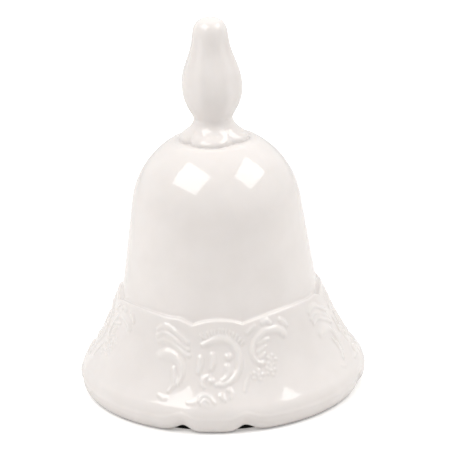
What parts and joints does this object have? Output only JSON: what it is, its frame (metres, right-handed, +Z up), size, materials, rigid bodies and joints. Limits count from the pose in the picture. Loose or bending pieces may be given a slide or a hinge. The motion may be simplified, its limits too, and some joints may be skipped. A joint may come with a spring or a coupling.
{
  "type": "porcelain bell",
  "caption": "White glazed porcelain table bell with a domed body, scalloped relief skirt, baluster handle and a hung ball clapper that swivels, swings and strikes.",
  "frame": {"origin": "centre of the plane that the rim stands on", "axes": "+Z up along the bell's axis to the top of the handle; -Y faces one of the four relief motifs, +X another; the split pin's bar lies along X at rest"},
  "size_m": [0.0916, 0.0916, 0.12],
  "materials": {
    "white_glaze": "gloss",
    "ball_glaze": "gloss",
    "fired_slip": "matte",
    "bush_brass": "satin",
    "wire_brass": "satin",
    "sleeve_brass": "satin",
    "washer_leather": "matte"
  },
  "bodies": {
    "bell": {"bell_shell": "white_glaze", "handle": "white_glaze", "luting_ring": "fired_slip", "crown_bush": "bush_brass"},
    "swivel": {"split_pin": "wire_brass"},
    "clapper": {"clapper_wire": "wire_brass", "lower_washer": "washer_leather", "upper_washer": "washer_leather", "stop_sleeve": "sleeve_brass"},
    "ball": {"clapper_ball": "ball_glaze"}
  },
  "joints": [
    {"name": "pin_swivel", "type": "hinge", "parent": "bell", "child": "swivel", "pos_m": [0, 0, 0.0792], "axis": [0, 0, 1], "continuous": true},
    {"name": "clapper_swing", "type": "hinge", "parent": "swivel", "child": "clapper", "pos_m": [0, 0, 0.0717], "axis": [1, 0, 0], "range_deg": [-25.7, 25.7]},
    {"name": "ball_spin", "type": "hinge", "parent": "clapper", "child": "ball", "pos_m": [0, 0, 0.022], "axis": [0, 0, 1], "continuous": true}
  ]
}
